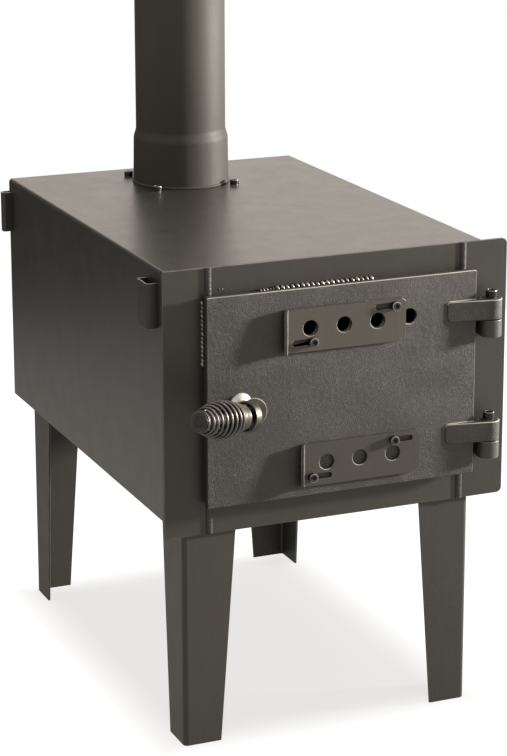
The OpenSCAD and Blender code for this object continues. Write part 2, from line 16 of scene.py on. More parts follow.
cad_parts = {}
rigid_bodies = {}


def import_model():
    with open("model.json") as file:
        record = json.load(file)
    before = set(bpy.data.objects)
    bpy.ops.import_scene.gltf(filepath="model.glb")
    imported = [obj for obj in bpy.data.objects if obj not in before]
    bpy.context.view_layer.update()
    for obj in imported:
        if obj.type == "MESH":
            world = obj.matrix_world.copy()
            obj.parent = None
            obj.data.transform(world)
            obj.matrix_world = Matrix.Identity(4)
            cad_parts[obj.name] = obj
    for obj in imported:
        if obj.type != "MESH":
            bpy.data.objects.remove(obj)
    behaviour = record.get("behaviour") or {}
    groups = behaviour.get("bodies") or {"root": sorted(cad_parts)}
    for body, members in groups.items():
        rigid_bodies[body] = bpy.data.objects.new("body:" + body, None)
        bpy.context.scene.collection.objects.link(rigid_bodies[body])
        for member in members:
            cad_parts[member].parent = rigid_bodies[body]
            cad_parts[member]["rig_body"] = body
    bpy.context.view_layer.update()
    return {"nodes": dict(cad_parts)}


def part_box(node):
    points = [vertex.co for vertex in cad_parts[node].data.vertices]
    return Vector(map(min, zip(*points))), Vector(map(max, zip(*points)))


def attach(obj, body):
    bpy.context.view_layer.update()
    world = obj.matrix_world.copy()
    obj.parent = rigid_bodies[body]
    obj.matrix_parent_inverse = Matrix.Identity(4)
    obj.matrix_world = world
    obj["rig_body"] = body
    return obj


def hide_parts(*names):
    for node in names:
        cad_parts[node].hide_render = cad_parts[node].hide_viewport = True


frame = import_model()
nodes = frame["nodes"]

# %% [markdown]
# ## Measures taken from the frame
#
# A few places are used again and again, such as the face of the front frame and the spindle
# of the latch. They could be typed in as numbers, but they are read from the boxes of the
# nodes, so the looks follow the solids if those are changed.

# %% Planes and centres
MM = 0.001

frame_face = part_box("front_left_strip")[0].y
door_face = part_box("door")[0].y
bush_low, bush_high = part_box("spindle_bush")
spindle = Vector(((bush_low.x + bush_high.x) / 2, bush_low.y, (bush_low.z + bush_high.z) / 2))
print("frame face y", round(frame_face, 4), "spindle", [round(v, 4) for v in spindle])

# %% [markdown]
# ## A shorthand for shader maths
#
# Paint and metal need small sums of masks and noises. Written as nodes they are hard to
# read, so a socket is wrapped in a class that understands plus, minus and times. Each
# operator adds the Math node that a person would have placed by hand.

# %% Sums on sockets
class Level:
    """A grey value in a material: a socket that can be reckoned with like a number."""

    def __init__(self, finish, socket):
        self.finish = finish
        self.socket = socket

    def sum_with(self, operation, other=0.0, swapped=False):
        first, second = (other, self) if swapped else (self, other)
        return self.finish.level("ShaderNodeMath", {"operation": operation}, {0: first, 1: second})

    def __add__(self, other):
        return self.sum_with("ADD", other)

    __radd__ = __add__

    def __mul__(self, other):
        return self.sum_with("MULTIPLY", other)

    __rmul__ = __mul__

    def __sub__(self, other):
        return self.sum_with("SUBTRACT", other)

    def __rsub__(self, other):
        return self.sum_with("SUBTRACT", other, swapped=True)

    def away_from(self, middle):
        """How far this value is from middle, on either side."""
        return (self - middle).sum_with("ABSOLUTE")

    def within(self, low, high):
        """0 below low, 1 above high and smooth in between."""
        feeds = {"Value": self, "From Min": low, "From Max": high}
        return self.finish.level("ShaderNodeMapRange", {"interpolation_type": "SMOOTHSTEP"}, feeds)


print("sums on sockets ready")

# %% [markdown]
# One more class holds a material while it is mixed. Its `add` makes any node from its type,
# its settings and what goes into its sockets. Its `noise`, `colour` and `bump` are the few
# recipes that every finish on this stove shares. All patterns are laid out in the object's
# own metres, so a lump of paint has the same size on every piece.

# %% A finish and its nodes
class Finish:
    """A material being mixed on one principled shader."""

    def __init__(self, name, metallic=0.0, ior=1.5, **sockets):
        self.material = bpy.data.materials.new(name)
        self.material.use_nodes = True
        self.tree = self.material.node_tree
        self.tree.nodes.clear()
        self.shader = self.tree.nodes.new("ShaderNodeBsdfPrincipled")
        self.out = self.tree.nodes.new("ShaderNodeOutputMaterial")
        self.tree.links.new(self.shader.outputs[0], self.out.inputs["Surface"])
        self.give(Metallic=metallic, IOR=ior, **sockets)
        self.place = self.add("ShaderNodeTexCoord").outputs["Object"]

    def add(self, kind, settings=None, feeds=None):
        node = self.tree.nodes.new(kind)
        for key, value in (settings or {}).items():
            setattr(node, key, value)
        for key, value in (feeds or {}).items():
            self.feed(node.inputs[key], value)
        return node

    def feed(self, socket, value):
        if isinstance(value, Level):
            value = value.socket
        if isinstance(value, bpy.types.NodeSocket):
            self.tree.links.new(value, socket)
        elif isinstance(value, (tuple, list)) and len(value) == 3 and socket.type == "RGBA":
            socket.default_value = (*value, 1)
        else:
            socket.default_value = value

    def give(self, **feeds):
        """Fills sockets of the shader, with _ for the spaces in their names."""
        for socket, value in feeds.items():
            self.feed(self.shader.inputs[socket.replace("_", " ")], value)
        return self.material

    def level(self, kind, settings=None, feeds=None, output=0):
        return Level(self, self.add(kind, settings, feeds).outputs[output])

    def along(self, axis):
        """The place along the axis X, Y or Z."""
        return self.level("ShaderNodeSeparateXYZ", {}, {0: self.place}, axis)

    def distance_to(self, point):
        return self.level("ShaderNodeVectorMath", {"operation": "DISTANCE"}, {0: self.place, 1: point}, "Value")

    def noise(self, size, detail=2.0, rough=0.5, stretch=None):
        """A noise whose lumps are about size metres across; stretch draws it out along an axis."""
        place = self.place
        if stretch:
            place = self.add("ShaderNodeMapping", {}, {"Vector": place, "Scale": stretch}).outputs[0]
        feeds = {"Vector": place, "Scale": 1 / size, "Detail": detail, "Roughness": rough}
        return self.level("ShaderNodeTexNoise", {"noise_dimensions": "3D"}, feeds)

    def colour(self, amount, low, high):
        """From colour low at amount 0 to colour high at amount 1."""
        # Of the Mix node's many sockets, 0 is the factor, and 6, 7 and output 2 are colours.
        return self.add("ShaderNodeMix", {"data_type": "RGBA"}, {0: amount, 6: low, 7: high}).outputs[2]

    def bump(self, height, depth, under=None):
        """Relief of depth metres where height goes from 0 to 1."""
        feeds = {"Height": height, "Distance": depth, "Strength": 1.0}
        if under is not None:
            feeds["Normal"] = under
        return self.add("ShaderNodeBump", {}, feeds).outputs[0]


print("finishes can be mixed")

# %% [markdown]
# ## Painted sheet steel
#
# The box, its legs and the frame strips wear one coat of dark, slightly brown, heat-proof
# paint. Up close it has a fine orange-peel and upright streaks from the spraying, and it is a
# little uneven in gloss. The sheet under it is not quite flat either, which bends the
# reflections, so a very wide and shallow bump is added below the fine one.

# %% Paint on flat sheet
PEEL_DEPTH = 0.00015
UPRIGHT = (1.0, 1.0, 0.06)
PALER_FROM, PALER_TO = 0.57, 0.68


def painted_sheet(name, dark, light, gloss, wave=0.0024, ior=1.5, paler_top=None):
    """Paint from dark to light. The sheet's wave is in metres; the last argument is its colour higher up."""
    finish = Finish(name, ior=ior)
    cloud = finish.noise(0.09, detail=3.0)
    fine = finish.noise(0.0016, detail=3.0, rough=0.6)
    streaks = finish.noise(0.0035, detail=3.0, rough=0.6, stretch=UPRIGHT)
    rubbed = finish.noise(0.03, detail=4.0, rough=0.65)
    wide = finish.noise(0.16, detail=1.0)
    shade = cloud.within(0.3, 0.7) * 0.3 + fine * 0.3 + streaks * 0.5
    flat = finish.bump(wide, wave)
    peel = finish.bump(fine * 0.6 + streaks * 0.4, PEEL_DEPTH, under=flat)
    rough = gloss + rubbed.within(0.3, 0.7) * 0.04 + fine * 0.04 + streaks * 0.06
    tone = finish.colour(shade, dark, light)
    if paler_top:
        tone = finish.colour(finish.along("Z").within(PALER_FROM, PALER_TO), tone, paler_top)
    return finish.give(Base_Color=tone, Roughness=rough, Normal=peel)


print("painted sheet can be mixed")

# %% [markdown]
# It is one paint everywhere, but on the stove the parts do not look alike: three of the
# legs, the right strip and the sockets are duller and darker than the rest. These darker
# copies of the paint are painted shade. One colour for all would be simpler and would lose
# those steps. So each group has its own shade of the same brown, and the flat box is the
# glossiest.

# %% Paints of the box and its legs
sheet_paint = painted_sheet(
    "sheet paint", (0.027, 0.0245, 0.0203), (0.034, 0.031, 0.0257), 0.27, wave=0.0002, ior=1.6)
shaded_socket_paint = painted_sheet(
    "socket paint with painted shade", (0.018, 0.0164, 0.0136), (0.024, 0.0218, 0.018), 0.36, wave=0.0002)
leg_paint = painted_sheet(
    "leg paint", (0.034, 0.031, 0.0257), (0.043, 0.0392, 0.0325), 0.34, wave=0.0006)
shaded_leg_paint = painted_sheet(
    "leg paint with painted shade", (0.019, 0.0173, 0.0144), (0.025, 0.0228, 0.019), 0.42, wave=0.0006)
strip_paint = painted_sheet(
    "strip paint", (0.028, 0.0255, 0.0212), (0.036, 0.0328, 0.0272), 0.34, wave=0.0006)
shaded_strip_paint = painted_sheet(
    "strip paint with painted shade", (0.022, 0.02, 0.0166), (0.028, 0.0255, 0.0212), 0.38, wave=0.0006)
print("paints of the box and its legs ready")

# %% [markdown]
# The sliders are rubbed by use and a little lighter, except along their upper, lower and
# right edges, which get a dark line of painted shade. The pipe is dull from heat and grows
# paler higher up.

# %% Paints of the sliders and the pipe
upper_paint = painted_sheet(
    "upper slider paint", (0.056, 0.051, 0.0423), (0.072, 0.0655, 0.0545), 0.36, wave=0.0006)
lower_paint = painted_sheet(
    "lower slider paint", (0.036, 0.0328, 0.0272), (0.046, 0.0419, 0.0348), 0.36, wave=0.0006)
painted_shade_edge = painted_sheet(
    "painted shade at an edge", (0.008, 0.0073, 0.006), (0.012, 0.011, 0.009), 0.5)
pipe_paint = painted_sheet(
    "pipe paint", (0.03, 0.0273, 0.0227), (0.04, 0.0364, 0.0302), 0.5,
    wave=0.0002, ior=1.36, paler_top=(0.049, 0.0446, 0.037))
print("paints of the sliders and the pipe ready")

# %% [markdown]
# ## Paint on the upright seams
#
# The strips of the front frame are butt-welded, and each seam is an upright bead. Where the
# bead runs out into the strip it lies in shade, so on the stove it shows as two dark lines
# with a lighter ridge, and these lines are painted shade. The lines could be thin extra
# pieces. Here they are a mask on how far a place is from the nearest seam's middle, which
# costs nothing and cannot float off the bead.

# %% Seam paint
RIDGE_HALF, LINE_FROM = 1.7 * MM, 3.2 * MM


def seam_paint(name, dark, light, line, seams, gloss):
    """Paint on upright beads at two places along X, with a line of painted shade beside each."""
    finish = Finish(name)
    across = finish.along("X")
    aside = across.away_from(seams[0]).sum_with("MINIMUM", across.away_from(seams[1]))
    ripples = finish.noise(0.004, detail=2.0, stretch=(0.5, 0.5, 1.6))
    # The near-black line beside each bead is painted shade in the crease.
    crease_shade_mask = aside.within(RIDGE_HALF, LINE_FROM)
    shade = finish.colour(crease_shade_mask, finish.colour(ripples, dark, light), line)
    return finish.give(Base_Color=shade, Roughness=gloss + crease_shade_mask * 0.3, Normal=finish.bump(ripples, 0.0006))


seam_low, seam_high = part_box("frame_weld_beads")
bead_half = 3.9 * MM
seams = (seam_low.x + bead_half, seam_high.x - bead_half)
seam_finish = seam_paint(
    "seam paint", (0.015, 0.0136, 0.0113), (0.021, 0.0191, 0.0158), (0.004, 0.0036, 0.0033), seams, 0.4)
print("seams at x", [round(x, 4) for x in seams])

# %% [markdown]
# ## Sand-cast iron
#
# The door is cast in sand and painted in the same colour. Grains of the mould leave a fine
# rough skin over wider lumps, and its tips are rubbed bright. A fine and a coarse noise make
# the relief, and the tips come from the tops of the same noises, so that the bright specks
# sit on the grains and not beside them. One small blow-hole is left near the top.

# %% Cast skin
PIT_FLOOR, PIT_RIM = 0.7 * MM, 1.6 * MM


def cast_skin(name, dark, light, tip, depth, gloss=0.42, pit=None):
    """Cast iron from dark to light with rubbed tips and a relief of depth metres."""
    finish = Finish(name)
    skin = finish.noise(0.0013, detail=4.0, rough=0.7)
    lumps = finish.noise(0.006, detail=3.0, rough=0.55)
    cloud = finish.noise(0.07, detail=3.0)
    coarse = finish.noise(0.03, detail=2.0).within(0.3, 0.7)
    height = skin * (coarse * 0.2 + 0.6) + lumps * 0.4
    tips = (skin + lumps * 0.3).within(0.68, 0.86)
    base = finish.colour(cloud.within(0.2, 0.8), dark, light)
    base = finish.colour(tips * (coarse * 0.1 + 0.4), base, tip)
    rough = gloss - tips * 0.12 + lumps * 0.1
    if pit:
        # The inside of the blow-hole is darkened as painted shade and sunk by the bump.
        pit_shade = 1.0 - finish.distance_to(pit).within(PIT_FLOOR, PIT_RIM)
        base = finish.colour(pit_shade * 0.85, base, (0.004, 0.004, 0.004))
        height = height - pit_shade * 1.5
    return finish.give(Base_Color=base, Roughness=rough, Normal=finish.bump(height, depth))


casting_pit = (-0.011, door_face, 0.442)
door_skin = cast_skin(
    "door skin", (0.023, 0.021, 0.0174), (0.028, 0.0255, 0.0212), (0.1, 0.091, 0.075), 0.0009, pit=casting_pit)
hinge_skin = cast_skin(
    "hinge skin", (0.038, 0.0345, 0.0287), (0.05, 0.0454, 0.0378), (0.1, 0.091, 0.076), 0.00045)
grate_skin = cast_skin(
    "grate skin", (0.02, 0.019, 0.018), (0.035, 0.033, 0.03), (0.06, 0.057, 0.052), 0.0009)
print("cast finishes ready")

# %% [markdown]
# The door's upper edge gets a painted highlight nearly as bright as bare iron, and its hinge
# side, which faces the lamp, a weaker one, while the lower and the left edge keep their paint.
# The same recipe with lighter colours and hardly any relief gives the two painted highlights.

# %% Painted highlights on the door's edges
top_edge_highlight = cast_skin(
    "top edge with painted highlight", (0.2, 0.187, 0.165), (0.5, 0.475, 0.43), (0.8, 0.77, 0.71), 0.00015, gloss=0.3)
side_edge_highlight = cast_skin(
    "hinge side edge with painted highlight", (0.06, 0.056, 0.048), (0.14, 0.132, 0.116), (0.3, 0.285, 0.255), 0.00015, gloss=0.32)
print("painted edge highlights ready")

# %% [markdown]
# ## Bare and plated metal
#
# Screws are black oxide, nuts are zinc, the bush and the spring are bare steel. Bare metal
# takes nearly all its looks from what it mirrors, so each one only needs a tint, fine
# scratches along the way it was turned or drawn, and a little dirt.

# %% Bare metal
def bare_metal(name, dirt, metal, gloss, metallic=1.0, depth=0.0001):
    """Metal with spots of dirt, and scratches of depth metres."""
    finish = Finish(name, metallic=metallic)
    fine = finish.noise(0.0006, detail=3.0, stretch=(1.0, 1.0, 0.25))
    soiled = finish.noise(0.012, detail=3.0).within(0.35, 0.7)
    rough = gloss + soiled * 0.12 + fine * 0.08
    shade = finish.colour(soiled, metal, dirt)
    return finish.give(Base_Color=shade, Roughness=rough, Normal=finish.bump(fine, depth))


print("bare metal can be mixed")

# %% [markdown]
# Screws and nuts first, then the wear on painted edges. Where paint is rubbed off, only a
# thin line of steel shows, and it is still half covered, so these finishes are less metallic.

# %% Screws, welds and worn edges
black_oxide = bare_metal("black oxide", (0.01, 0.0095, 0.009), (0.028, 0.027, 0.025), 0.24, metallic=0.6)
screw_rim = bare_metal("rubbed screw rim", (0.2, 0.19, 0.17), (0.46, 0.44, 0.4), 0.26, metallic=0.5)
zinc = bare_metal("zinc", (0.3, 0.29, 0.27), (0.52, 0.51, 0.49), 0.3)
weld_metal = bare_metal("weld metal", (0.1, 0.095, 0.085), (0.26, 0.25, 0.228), 0.3, metallic=0.7)
edge_metal = bare_metal("rubbed edge", (0.08, 0.075, 0.067), (0.15, 0.142, 0.13), 0.32, metallic=0.4)
# The rim finish is wear on the sliders' lips and a painted highlight on rims facing the lamps.
rim_wear_and_highlight = bare_metal("worn rim and painted highlight", (0.2, 0.19, 0.17), (0.38, 0.36, 0.33), 0.34, metallic=0.3)
print("screws, welds and worn edges ready")

# %% [markdown]
# The latch is the brightest part of the stove. Its bush is polished by turning, its spring
# is blank wire, and its rod and cap are dull. Soot and shadow fill the insides, and a
# near-black metal paints both in as soot and painted shade.

# %% Metals of the latch
polished = bare_metal(
    "polished bush", (0.55, 0.53, 0.49), (0.8, 0.78, 0.74), 0.3, metallic=0.35, depth=0.00002)
rod_metal = bare_metal("rod metal", (0.03, 0.028, 0.025), (0.06, 0.056, 0.05), 0.34, metallic=0.7)
disc_metal = bare_metal("disc metal", (0.05, 0.0475, 0.0435), (0.1, 0.095, 0.086), 0.42, depth=0.00004)
cup_metal = bare_metal("cup metal", (0.06, 0.057, 0.051), (0.13, 0.124, 0.112), 0.3, depth=0.00004)
spring_metal = bare_metal(
    "spring wire", (0.07, 0.066, 0.06), (0.14, 0.133, 0.122), 0.34, metallic=0.85, depth=0.00003)
cap_metal = bare_metal(
    "cap face", (0.02, 0.0188, 0.017), (0.034, 0.032, 0.0285), 0.5, metallic=0.3, depth=0.0002)
soot_and_shade_metal = bare_metal("soot and painted shade inside", (0.006, 0.006, 0.0055), (0.012, 0.0115, 0.011), 0.6, metallic=0.2)
print("metals of the latch ready")

# %% [markdown]
# ## Rope
#
# Behind the door's rim lies a rope of glass fibre that seals it. It only shows when the door
# is open, so its strands are a noise drawn out along the rope's height and need no shape.

# %% Woven rope
def woven_rope(name):
    finish = Finish(name)
    strands = finish.noise(0.0012, detail=2.0, stretch=(1.0, 1.0, 0.4))
    fluff = finish.noise(0.004, detail=4.0)
    shade = finish.colour(strands * 0.6 + fluff * 0.4, (0.012, 0.012, 0.011), (0.06, 0.058, 0.054))
    return finish.give(Base_Color=shade, Roughness=0.85 + fluff * 0.1, Normal=finish.bump(strands, 0.0012))


rope = woven_rope("rope")
print("rope ready")

# %% [markdown]
# ## Working a CAD solid into a finished piece
#
# A CAD solid has edges of no width at all, and real steel never has: a cut or cast edge is
# slightly round and catches a line of light. The solid's own mesh is loose triangles, so a
# copy is joined first and its flat faces are cleaned.

# %% A joined copy of a solid
def pick(piece):
    bpy.ops.object.select_all(action="DESELECT")
    piece.select_set(True)
    bpy.context.view_layer.objects.active = piece


def finish_modifier(piece, kind, **settings):
    modifier = piece.modifiers.new(kind.lower(), kind)
    for key, value in settings.items():
        setattr(modifier, key, value)
    pick(piece)
    bpy.ops.object.modifier_apply(modifier=modifier.name)


def joined_copy(node, name):
    """A copy of a CAD solid whose triangles are joined and whose flat faces are whole."""
    piece = bpy.data.objects.new(name, nodes[node].data.copy())
    bpy.context.scene.collection.objects.link(piece)
    piece.data.materials.clear()
    pick(piece)
    bpy.ops.object.mode_set(mode="EDIT")
    bpy.ops.mesh.select_all(action="SELECT")
    bpy.ops.mesh.remove_doubles(threshold=0.000002)
    bpy.ops.mesh.dissolve_limited(angle_limit=math.radians(0.5))
    bpy.ops.object.mode_set(mode="OBJECT")
    return piece


print("solids can be copied")

# %% [markdown]
# Then all sharp edges get a small bevel, with a finish of its own, because paint is thin and
# rubbed there. On the sliders and the rod the rims of holes are more worn than the long
# edges, so there each edge says how much of the bevel it takes. The lower slider is careful:
# its slots lie so close to its holes that a full bevel would cross itself, so they stay
# nearly sharp. Both parts of the solid are told apart later by their slots FACE and EDGE.

# %% Round the edges of a copy
FACE, EDGE = 0, 1
SHORT_EDGE, LONG_EDGE, ARC_EDGE = 3.5 * MM, 21 * MM, 0.5 * MM
SLOT_SHARE = 0.1


def weigh_edges(piece, angle, rim_share, careful):
    """Short sharp edges are the rims of holes and keep the whole bevel; long ones get a share."""
    mesh = piece.data
    normals = {}
    for face in mesh.polygons:
        for key in face.edge_keys:
            normals.setdefault(key, []).append(face.normal)
    weights = mesh.attributes.new("bevel_weight_edge", "FLOAT", "EDGE")
    for edge in mesh.edges:
        sides = normals[edge.key]
        if len(sides) == 2 and sides[0].angle(sides[1], 0) > math.radians(angle):
            start, end = [mesh.vertices[i].co for i in edge.vertices]
            length = (start - end).length
            share = 1.0 if length < SHORT_EDGE else rim_share
            if careful and (length < ARC_EDGE or SHORT_EDGE < length < LONG_EDGE):
                share = SLOT_SHARE
            weights.data[edge.index].value = share


def worked(node, finish, edge=0.5, edge_finish=None, steps=2, angle=32, rim_share=None, careful=False):
    """The CAD solid with its sharp edges rounded by edge millimetres.

    rim_share is the long edges' share of that, and careful keeps the edges of slots nearly sharp.
    """
    piece = joined_copy(node, node + "_worked")
    piece.data.materials.append(finish)
    piece.data.materials.append(edge_finish or finish)
    if careful:
        finish_modifier(piece, "TRIANGULATE")
    if rim_share:
        weigh_edges(piece, angle, rim_share, careful)
    finish_modifier(
        piece, "BEVEL", width=edge * MM, segments=steps, limit_method="WEIGHT" if rim_share else "ANGLE",
        angle_limit=math.radians(angle), material=EDGE if edge_finish else -1, miter_outer="MITER_ARC",
        use_clamp_overlap=False, loop_slide=False,
    )
    bpy.ops.object.shade_smooth_by_angle(angle=math.radians(angle))
    finish_modifier(piece, "WEIGHTED_NORMAL", keep_sharp=True, weight=60)
    body = nodes[node].get("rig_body")
    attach(piece, body)
    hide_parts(node)
    return piece


def repaint(piece, finish, wanted):
    """Gives another finish to the faces whose centre, normal and slot are wanted."""
    piece.data.materials.append(finish)
    slot = len(piece.data.materials) - 1
    faces = [face for face in piece.data.polygons if wanted(face.center, face.normal, face.material_index)]
    for face in faces:
        face.material_index = slot
    print(piece.name, "has", len(faces), "faces of", finish.name)


print("edges can be rounded")

# %% [markdown]
# ## Sheet parts
#
# Box, strips and legs are cut from sheet, and a rounding of half a millimetre is about what
# deburring leaves. Their roundings get the finish of a rubbed edge. One loop works all the
# strips or legs in the same way, and only the paint depends on the name.

# %% Box, strips and legs
for name in ["firebox_shell", "floor_plate", "back_plate"]:
    worked(name, sheet_paint, edge=0.4, edge_finish=edge_metal)
# The right strip takes the paint with painted shade.
for name in ["front_left_strip", "front_right_strip", "front_top_strip", "front_bottom_strip"]:
    paint = shaded_strip_paint if "right" in name else strip_paint
    worked(name, paint, edge=0.5, edge_finish=edge_metal)
worked("door_seat", strip_paint, edge=0.4)
# Three of the legs take the paint with painted shade.
for name in ["front_left_leg", "front_right_leg", "rear_left_leg", "rear_right_leg"]:
    paint = leg_paint if name == "front_left_leg" else shaded_leg_paint
    worked(name, paint, edge=0.4, edge_finish=edge_metal)
print("box, strips and legs worked")

# %% [markdown]
# The sockets on the walls, where the shelves slide in, take paint with painted shade, and the
# topmost faces of their mouths get a painted highlight. The pipe and its collar keep their
# paint at the edges.

# %% Sockets, pipe and collar
for name in ["front_left_socket", "rear_left_socket", "front_right_socket", "rear_right_socket"]:
    socket = worked(name, shaded_socket_paint, edge=0.35)
    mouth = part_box(name)[1].z
    repaint(socket, rim_wear_and_highlight, lambda place, normal, slot: place.z > mouth - 0.4 * MM)
worked("flue_pipe", pipe_paint, edge=0.25)
worked("flue_collar", pipe_paint, edge=0.3)
print("sockets, pipe and collar worked")

# %% [markdown]
# ## The door
#
# A casting has rounder edges than cut sheet. The rounding gets one finish by default, and
# then each side gets its own by the way it faces the lamps: a painted highlight, bright on
# top and less so at the hinges, and plain painted skin at the bottom and on the left.

# %% Door
door = worked("door", door_skin, edge=0.8, edge_finish=edge_metal, steps=3)
repaint(door, top_edge_highlight, lambda place, normal, slot: slot == EDGE and normal.z > 0.2)
repaint(door, side_edge_highlight, lambda place, normal, slot: slot == EDGE and normal.x > 0.2)
repaint(door, door_skin, lambda place, normal, slot: slot == EDGE and (normal.z < -0.2 or normal.x < -0.2))
print("door worked")

# %% [markdown]
# ## The sliders
#
# A thumb on the bent lip pushes each slider, so the lip's edge is worn bright. The holes get
# a painted highlight at their lower left, where the lamp meets the rounding. The outer edges
# get a dark line of painted shade. These are all faces of the same bevel, told apart by place
# and direction.

# %% Sliders
OUTER = 1.2 * MM
LIP = 14 * MM
for name, paint in {"upper_vent_slider": upper_paint, "lower_vent_slider": lower_paint}.items():
    slider = worked(
        name, paint, edge=0.7, edge_finish=rim_wear_and_highlight, rim_share=0.5, careful=name == "lower_vent_slider")
    low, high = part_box(name)
    # The top, bottom and right roundings get a dark line of painted shade.
    repaint(slider, painted_shade_edge, lambda place, normal, slot: slot == EDGE and (
        place.x > high.x - OUTER or place.z < low.z + OUTER or place.z > high.z - OUTER))
    repaint(slider, paint, lambda place, normal, slot: (
        slot == EDGE and place.x > low.x + LIP and normal.x + normal.z < 0.15))
print("sliders worked")

# %% [markdown]
# ## Hinges and screws
#
# The hinge knuckles have a rough skin like the door's, only finer. The screws that hold the
# door's arms on them, like those of the flue, are black with a bright rubbed rim. A finish
# and a rounding are enough for these.

# %% Knuckles and pins
for name in ["upper_hinge_knuckle", "lower_hinge_knuckle"]:
    worked(name, hinge_skin, edge=0.9, edge_finish=edge_metal)
for name in ["upper_hinge_pin", "lower_hinge_pin", "flue_screws"]:
    worked(name, black_oxide, edge=0.4, edge_finish=screw_rim)
print("hinges and flue screws worked")

# %% [markdown]
# The heads of the vent screws have a bright rim too, and a recess for the key that is painted
# near-black as shade. The recess is found by its distance from the head's middle, and the
# middles are found by sorting the points of the four screws into heaps that lie close together.

# %% Vent screws
def middles(piece, apart):
    """The middles of a piece's separate parts, seen from the front."""
    groups = []
    for vertex in piece.data.vertices:
        at = (vertex.co.x, vertex.co.z)
        near = [group for group in groups if math.dist(group[0], at) < apart]
        if near:
            near[0].append(at)
        else:
            groups.append([at])
    return [tuple((min(c) + max(c)) / 2 for c in zip(*group)) for group in groups]


HEAD = 9 * MM
RECESS = 3.3 * MM
screws = worked("vent_screws", black_oxide, edge=0.55, edge_finish=screw_rim)
axes = middles(screws, HEAD)
repaint(screws, soot_and_shade_metal, lambda place, normal, slot: normal.y < 0.5 and min(
    math.hypot(place.x - x, place.z - z) for x, z in axes) < RECESS)
print(len(axes), "vent screws")

# %% [markdown]
# The rest needs no more than a finish and its rounding. The seams and the rope have no sharp
# edges, so they keep their own solids and only get a material.

# %% Nuts, grate, seams and rope
for name in ["vent_nuts", "flue_nuts", "leg_bolts", "leg_nuts", "latch_nut"]:
    worked(name, zinc, edge=0.4)
worked("latch_washer", zinc, edge=0.2)
worked("spindle_bush", polished, edge=0.3)
worked("latch_cam", rod_metal, edge=0.5)
worked("fire_grate", grate_skin, edge=0.8)
for name, material in {"frame_weld_beads": seam_finish, "door_gasket": rope}.items():
    nodes[name].data.materials.clear()
    nodes[name].data.materials.append(material)
print("small and hidden parts worked")

# %% [markdown]
# ## Rippled welds
#
# The bar round the opening is welded to the frame from outside, in stitches. Such a weld is a
# row of overlapping drops, each frozen a moment after the one before, so one drop is modelled
# and a copy of it is set every few millimetres, never quite in line and never quite the same
# size. A few loose drops of spatter lie beyond the ends.

# %% One drop of weld
def weld_drop(name, finish):
    bpy.ops.object.select_all(action="DESELECT")
    bpy.ops.mesh.primitive_uv_sphere_add(segments=12, ring_count=8, radius=1.0, location=(0, 0, 0))
    drop = bpy.context.object
    drop.name = name
    bpy.ops.object.mode_set(mode="EDIT")
    bpy.ops.mesh.select_all(action="SELECT")
    bpy.ops.transform.resize(value=(0.75, 1.0, 1.15), center_override=(0, 0, 0))
    bpy.ops.transform.rotate(value=math.radians(28), orient_axis="Y", center_override=(0, 0, 0))
    bpy.ops.object.mode_set(mode="OBJECT")
    drop.data.materials.append(finish)
    bpy.ops.object.shade_smooth()
    return drop


first_drop = weld_drop("first_drop", weld_metal)
print("one drop has", len(first_drop.data.polygons), "faces")

# %% [markdown]
# A stitch is a line of places with a size for each. Above and below the opening lies a seam
# with a short row of finer tacks to its left. Beside the opening there is one seam on either
# side, at its upper end. The die has a fixed seed, so every run throws the same welds.

# %% Places of the drops
seat_low, seat_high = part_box("door_seat")
stitch_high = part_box("seat_weld_beads")[1]
dice = random.Random(7)
drops = []


def stitch(start, end, pitch, size):
    start, end = Vector(start), Vector(end)
    count = round((end - start).length / pitch)
    for i in range(count + 1):
        place = start.lerp(end, i / count) + Vector([dice.uniform(-0.25, 0.25) * MM for _ in range(3)])
        drops.append((place, size * dice.uniform(0.85, 1.12)))


OUTSIDE = 1.4 * MM
SPATTERS = 6
deep = frame_face - OUTSIDE
seam_from, seam_to = seat_low.x + 79 * MM, seat_low.x + 182 * MM
for z in (seat_high.z + OUTSIDE, seat_low.z - OUTSIDE):
    stitch((seam_from, deep, z), (seam_to, deep, z), pitch=5.4 * MM, size=2.9 * MM)
    tack_from, tack_to = [(seam_from - before * MM, deep, z - 0.4 * MM) for before in (18, 4)]
    stitch(tack_from, tack_to, pitch=3.6 * MM, size=1.5 * MM)
for x in (seat_low.x - OUTSIDE, seat_high.x + OUTSIDE):
    side_from, side_to = (x, deep, stitch_high.z - 72 * MM), (x, deep, seat_high.z - 6 * MM)
    stitch(side_from, side_to, pitch=4.6 * MM, size=2.4 * MM)
for _ in range(SPATTERS):
    x = seat_low.x + (16 + dice.uniform(0, 14)) * MM
    z = seat_high.z + dice.uniform(4, 7) * MM
    drops.append(((x, frame_face, z), dice.uniform(0.35, 0.6) * MM))
print(len(drops), "drops of weld")

# %% [markdown]
# The copies are joined into one piece, which stands in for the plain beads of the CAD model.

# %% Join the drops
def weld_row(name, drops):
    """Joins copies of the first drop, one for each place and size in drops, into one piece."""
    pieces = []
    for place, size in drops:
        copy = bpy.data.objects.new(name, first_drop.data.copy())
        bpy.context.scene.collection.objects.link(copy)
        for vertex in copy.data.vertices:
            vertex.co = Vector(place) + vertex.co * size
        pieces.append(copy)
    pick(pieces[0])
    for piece in pieces:
        piece.select_set(True)
    bpy.ops.object.join()
    return bpy.context.object


weld = weld_row("seat_welds", drops)
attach(weld, nodes["seat_weld_beads"].get("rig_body"))
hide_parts("seat_weld_beads")
bpy.data.objects.remove(first_drop)
print("welds have", len(weld.data.polygons), "faces")

# %% [markdown]
# ## The wound grip
#
# The grip is one hard steel wire, wound into a slim barrel: close turns next to the cup,
# open turns towards the end cap. Its axis leans out from the door and is turned up a little.
# A torus for each turn would be quick, but a spring is one wire, so its line is reckoned
# turn by turn along the axis, with a radius that swells and comes back.

